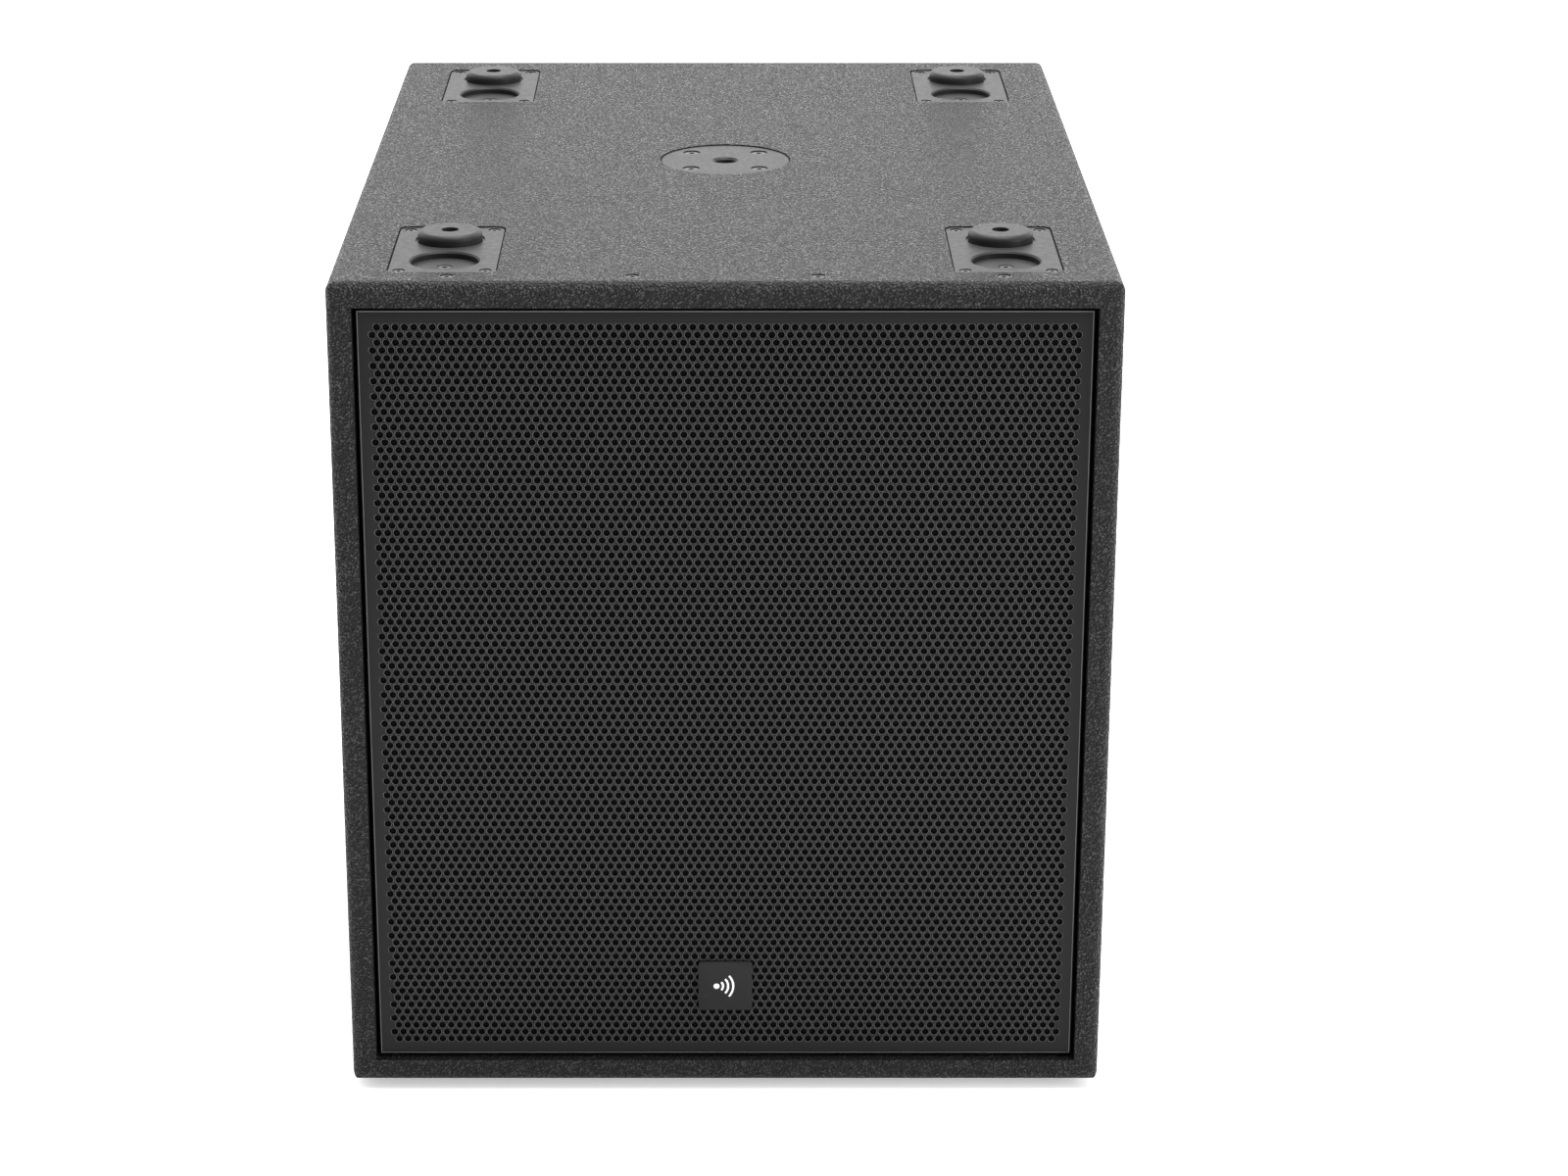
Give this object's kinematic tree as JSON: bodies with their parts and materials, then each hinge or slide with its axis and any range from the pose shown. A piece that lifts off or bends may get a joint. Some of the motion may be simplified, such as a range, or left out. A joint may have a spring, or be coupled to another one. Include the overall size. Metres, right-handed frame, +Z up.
{
  "type": "pa speaker cabinet",
  "caption": "Black textured plywood subwoofer cabinet with a perforated steel grille, stacking foot-and-cup plates, pole flange, side handles and one large sprung driver.",
  "frame": {"origin": "on the floor under the middle of the cabinet", "axes": "+Z up, the grille faces -Y, +X to the right seen from the front"},
  "size_m": [0.558, 0.745, 0.631],
  "materials": {
    "coated_plywood": "birch plywood under textured black structured coating",
    "bare_plywood": "bare birch plywood",
    "grille_coating": "satin black powder coat on perforated steel",
    "stack_plate_plastic": "smooth moulded black plastic",
    "black_screws": "blackened steel",
    "zinc_steel": "zinc plated",
    "foam_grey": "pale closed-cell foam",
    "foam_black": "thin open-cell black foam",
    "badge_black": "black with a silver abstract mark",
    "flange_coating": "smooth black powder coat",
    "handle_plastic": "fine-grained black plastic",
    "cable_rubber": "black cable jacket",
    "gasket_rubber": "black foam rubber",
    "surround_cloth": "doped black cloth",
    "spider_cloth": "resin-stiffened yellow cloth",
    "cone_paper": "black ribbed paper",
    "former_aluminium": "thin sheet",
    "coil_copper": "enamelled copper winding",
    "motor_steel": "black zinc plated steel",
    "ferrite": "sintered ferrite",
    "terminal_red": "red push terminal",
    "braid_copper": "tinned copper braid"
  },
  "bodies": {
    "cabinet": {"top_panel": "coated_plywood", "bottom_panel": "coated_plywood", "left_side_panel": "coated_plywood", "right_side_panel": "coated_plywood", "rear_panel": "coated_plywood", "front_baffle": "coated_plywood", "port_shelf": "coated_plywood", "port_divider": "coated_plywood", "window_brace": "bare_plywood", "grille_sheet": "grille_coating", "grille_screws": "black_screws", "grille_screw_cups": "black_screws", "grille_rivet_nuts": "zinc_steel", "grille_foam": "foam_black", "grille_buffers": "foam_grey", "badge_plate": "badge_black", "stack_plate_top_front_left": "stack_plate_plastic", "stack_plate_top_front_right": "stack_plate_plastic", "stack_plate_top_rear_left": "stack_plate_plastic", "stack_plate_top_rear_right": "stack_plate_plastic", "stack_plate_bottom_front_left": "stack_plate_plastic", "stack_plate_bottom_front_right": "stack_plate_plastic", "stack_plate_bottom_rear_left": "stack_plate_plastic", "stack_plate_bottom_rear_right": "stack_plate_plastic", "top_plate_rim_screws": "black_screws", "top_plate_foot_screws": "black_screws", "top_plate_cup_screws": "black_screws", "bottom_plate_rim_screws": "black_screws", "bottom_plate_foot_screws": "black_screws", "bottom_plate_cup_screws": "black_screws", "pole_flange": "flange_coating", "pole_flange_screws": "black_screws", "pole_flange_tee_nuts": "zinc_steel", "left_handle": "handle_plastic", "right_handle": "handle_plastic", "handle_screws": "black_screws", "connector_dish": "handle_plastic", "connector_dish_screws": "black_screws", "speaker_socket_left": "handle_plastic", "speaker_socket_right": "handle_plastic", "socket_screws": "zinc_steel", "internal_cable": "cable_rubber", "driver_basket": "flange_coating", "driver_rear_gasket": "gasket_rubber", "driver_front_gasket": "gasket_rubber", "driver_surround": "surround_cloth", "driver_spider": "spider_cloth", "magnet_top_plate": "motor_steel", "magnet_ring": "ferrite", "magnet_yoke": "motor_steel", "driver_terminals": "terminal_red", "tinsel_leads": "braid_copper", "driver_bolts": "black_screws", "driver_bolt_washers": "zinc_steel", "driver_tee_nuts": "zinc_steel"},
    "driver_moving_parts": {"driver_cone": "cone_paper", "driver_dust_cap": "cone_paper", "voice_coil_former": "former_aluminium", "voice_coil": "coil_copper"}
  },
  "joints": [
    {"name": "cone_travel", "type": "slide", "parent": "cabinet", "child": "driver_moving_parts", "axis": [0, -1, 0], "range_m": [-0.009, 0.009], "stiffness_N_per_m": 5000, "deforming": ["driver_surround", "driver_spider", "tinsel_leads"]}
  ]
}
